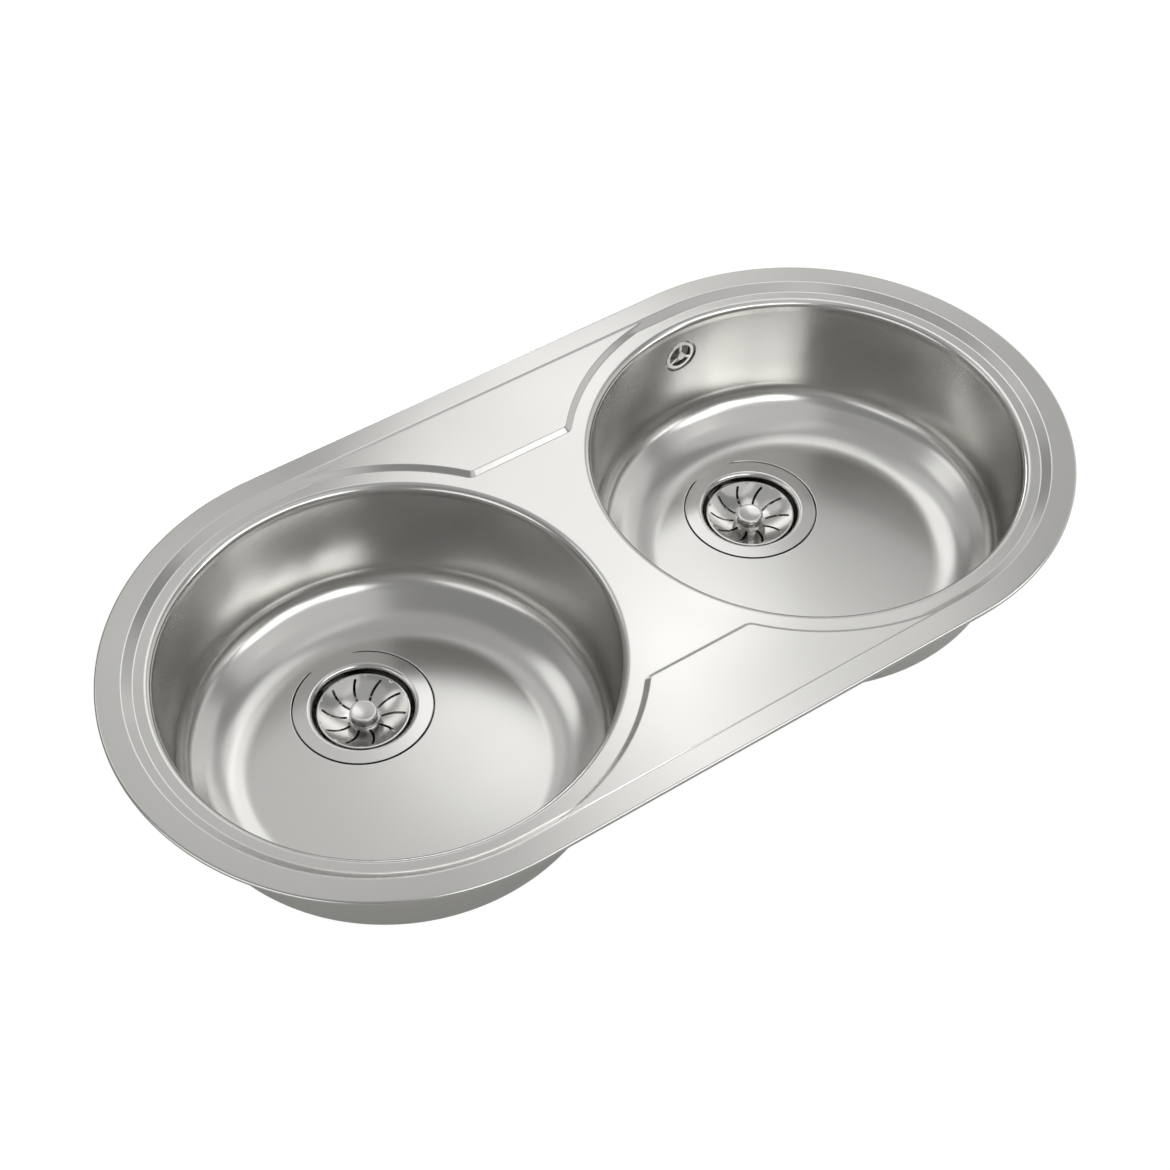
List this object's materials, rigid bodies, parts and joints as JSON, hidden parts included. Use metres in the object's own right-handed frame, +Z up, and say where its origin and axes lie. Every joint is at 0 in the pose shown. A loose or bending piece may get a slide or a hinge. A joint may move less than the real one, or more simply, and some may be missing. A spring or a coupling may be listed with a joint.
{
  "type": "kitchen sink",
  "caption": "Inset double bowl kitchen sink in pressed steel with a rounded rim, stepped centre deck, strainer wastes, an overflow and swinging fixing clips.",
  "frame": {"origin": "centre of the worktop plane that the rim rests on", "axes": "+X along the length, towards the bowl with the overflow, +Y towards the rear edge, +Z up"},
  "size_m": [0.84, 0.44, 0.2228],
  "materials": {
    "satin_steel": "satin stainless steel sheet",
    "polished_steel": "polished stainless steel",
    "zinc_steel": "zinc plated steel",
    "rubber": "matt black rubber",
    "foam_seal": "closed cell foam strip",
    "damping_pad": "matt bitumen felt",
    "white_plastic": "moulded polypropylene",
    "dark_plastic": "moulded polypropylene",
    "brass": "turned brass"
  },
  "bodies": {
    "sink": {"deck": "satin_steel", "left_bowl": "satin_steel", "right_bowl": "satin_steel", "rim_seal": "foam_seal", "clip_brackets": "zinc_steel", "left_waste_flange": "polished_steel", "left_flange_gasket": "rubber", "left_waste_washer": "rubber", "left_waste_body": "white_plastic", "left_waste_outlet": "white_plastic", "left_waste_screw": "polished_steel", "left_waste_insert": "brass", "left_sound_pad": "damping_pad", "right_waste_flange": "polished_steel", "right_flange_gasket": "rubber", "right_waste_washer": "rubber", "right_waste_body": "white_plastic", "right_waste_outlet": "white_plastic", "right_waste_screw": "polished_steel", "right_waste_insert": "brass", "right_sound_pad": "damping_pad", "overflow_rosette": "polished_steel", "overflow_screw": "polished_steel", "overflow_gasket": "rubber", "overflow_elbow": "white_plastic"},
    "left_strainer": {"left_basket": "polished_steel", "left_knob": "polished_steel", "left_stem": "polished_steel", "left_plug": "dark_plastic", "left_plug_seal": "rubber"},
    "right_strainer": {"right_basket": "polished_steel", "right_knob": "polished_steel", "right_stem": "polished_steel", "right_plug": "dark_plastic", "right_plug_seal": "rubber"},
    "clip_1_pivot": {"clip_1_screw": "zinc_steel"},
    "clip_1_jaw": {"clip_1_claw": "zinc_steel"},
    "clip_2_pivot": {"clip_2_screw": "zinc_steel"},
    "clip_2_jaw": {"clip_2_claw": "zinc_steel"},
    "clip_3_pivot": {"clip_3_screw": "zinc_steel"},
    "clip_3_jaw": {"clip_3_claw": "zinc_steel"},
    "clip_4_pivot": {"clip_4_screw": "zinc_steel"},
    "clip_4_jaw": {"clip_4_claw": "zinc_steel"},
    "clip_5_pivot": {"clip_5_screw": "zinc_steel"},
    "clip_5_jaw": {"clip_5_claw": "zinc_steel"},
    "clip_6_pivot": {"clip_6_screw": "zinc_steel"},
    "clip_6_jaw": {"clip_6_claw": "zinc_steel"}
  },
  "joints": [
    {"name": "left_strainer_lift", "type": "slide", "parent": "sink", "child": "left_strainer", "axis": [0, 0, 1], "range_m": [0, 0.06]},
    {"name": "right_strainer_lift", "type": "slide", "parent": "sink", "child": "right_strainer", "axis": [0, 0, 1], "range_m": [0, 0.06]},
    {"name": "clip_1_swing", "type": "hinge", "parent": "sink", "child": "clip_1_pivot", "pos_m": [-0.396, 0, -0.02], "axis": [0, 0, 1], "range_deg": [0, 90]},
    {"name": "clip_1_clamp", "type": "slide", "parent": "clip_1_pivot", "child": "clip_1_jaw", "axis": [0, 0, 1], "range_m": [0, 0.015]},
    {"name": "clip_2_swing", "type": "hinge", "parent": "sink", "child": "clip_2_pivot", "pos_m": [0.396, 0, -0.02], "axis": [0, 0, 1], "range_deg": [0, 90]},
    {"name": "clip_2_clamp", "type": "slide", "parent": "clip_2_pivot", "child": "clip_2_jaw", "axis": [0, 0, 1], "range_m": [0, 0.015]},
    {"name": "clip_3_swing", "type": "hinge", "parent": "sink", "child": "clip_3_pivot", "pos_m": [-0.08, -0.186, -0.02], "axis": [0, 0, 1], "range_deg": [0, 90]},
    {"name": "clip_3_clamp", "type": "slide", "parent": "clip_3_pivot", "child": "clip_3_jaw", "axis": [0, 0, 1], "range_m": [0, 0.015]},
    {"name": "clip_4_swing", "type": "hinge", "parent": "sink", "child": "clip_4_pivot", "pos_m": [0.08, -0.186, -0.02], "axis": [0, 0, 1], "range_deg": [0, 90]},
    {"name": "clip_4_clamp", "type": "slide", "parent": "clip_4_pivot", "child": "clip_4_jaw", "axis": [0, 0, 1], "range_m": [0, 0.015]},
    {"name": "clip_5_swing", "type": "hinge", "parent": "sink", "child": "clip_5_pivot", "pos_m": [-0.08, 0.186, -0.02], "axis": [0, 0, 1], "range_deg": [0, 90]},
    {"name": "clip_5_clamp", "type": "slide", "parent": "clip_5_pivot", "child": "clip_5_jaw", "axis": [0, 0, 1], "range_m": [0, 0.015]},
    {"name": "clip_6_swing", "type": "hinge", "parent": "sink", "child": "clip_6_pivot", "pos_m": [0.08, 0.186, -0.02], "axis": [0, 0, 1], "range_deg": [0, 90]},
    {"name": "clip_6_clamp", "type": "slide", "parent": "clip_6_pivot", "child": "clip_6_jaw", "axis": [0, 0, 1], "range_m": [0, 0.015]}
  ]
}
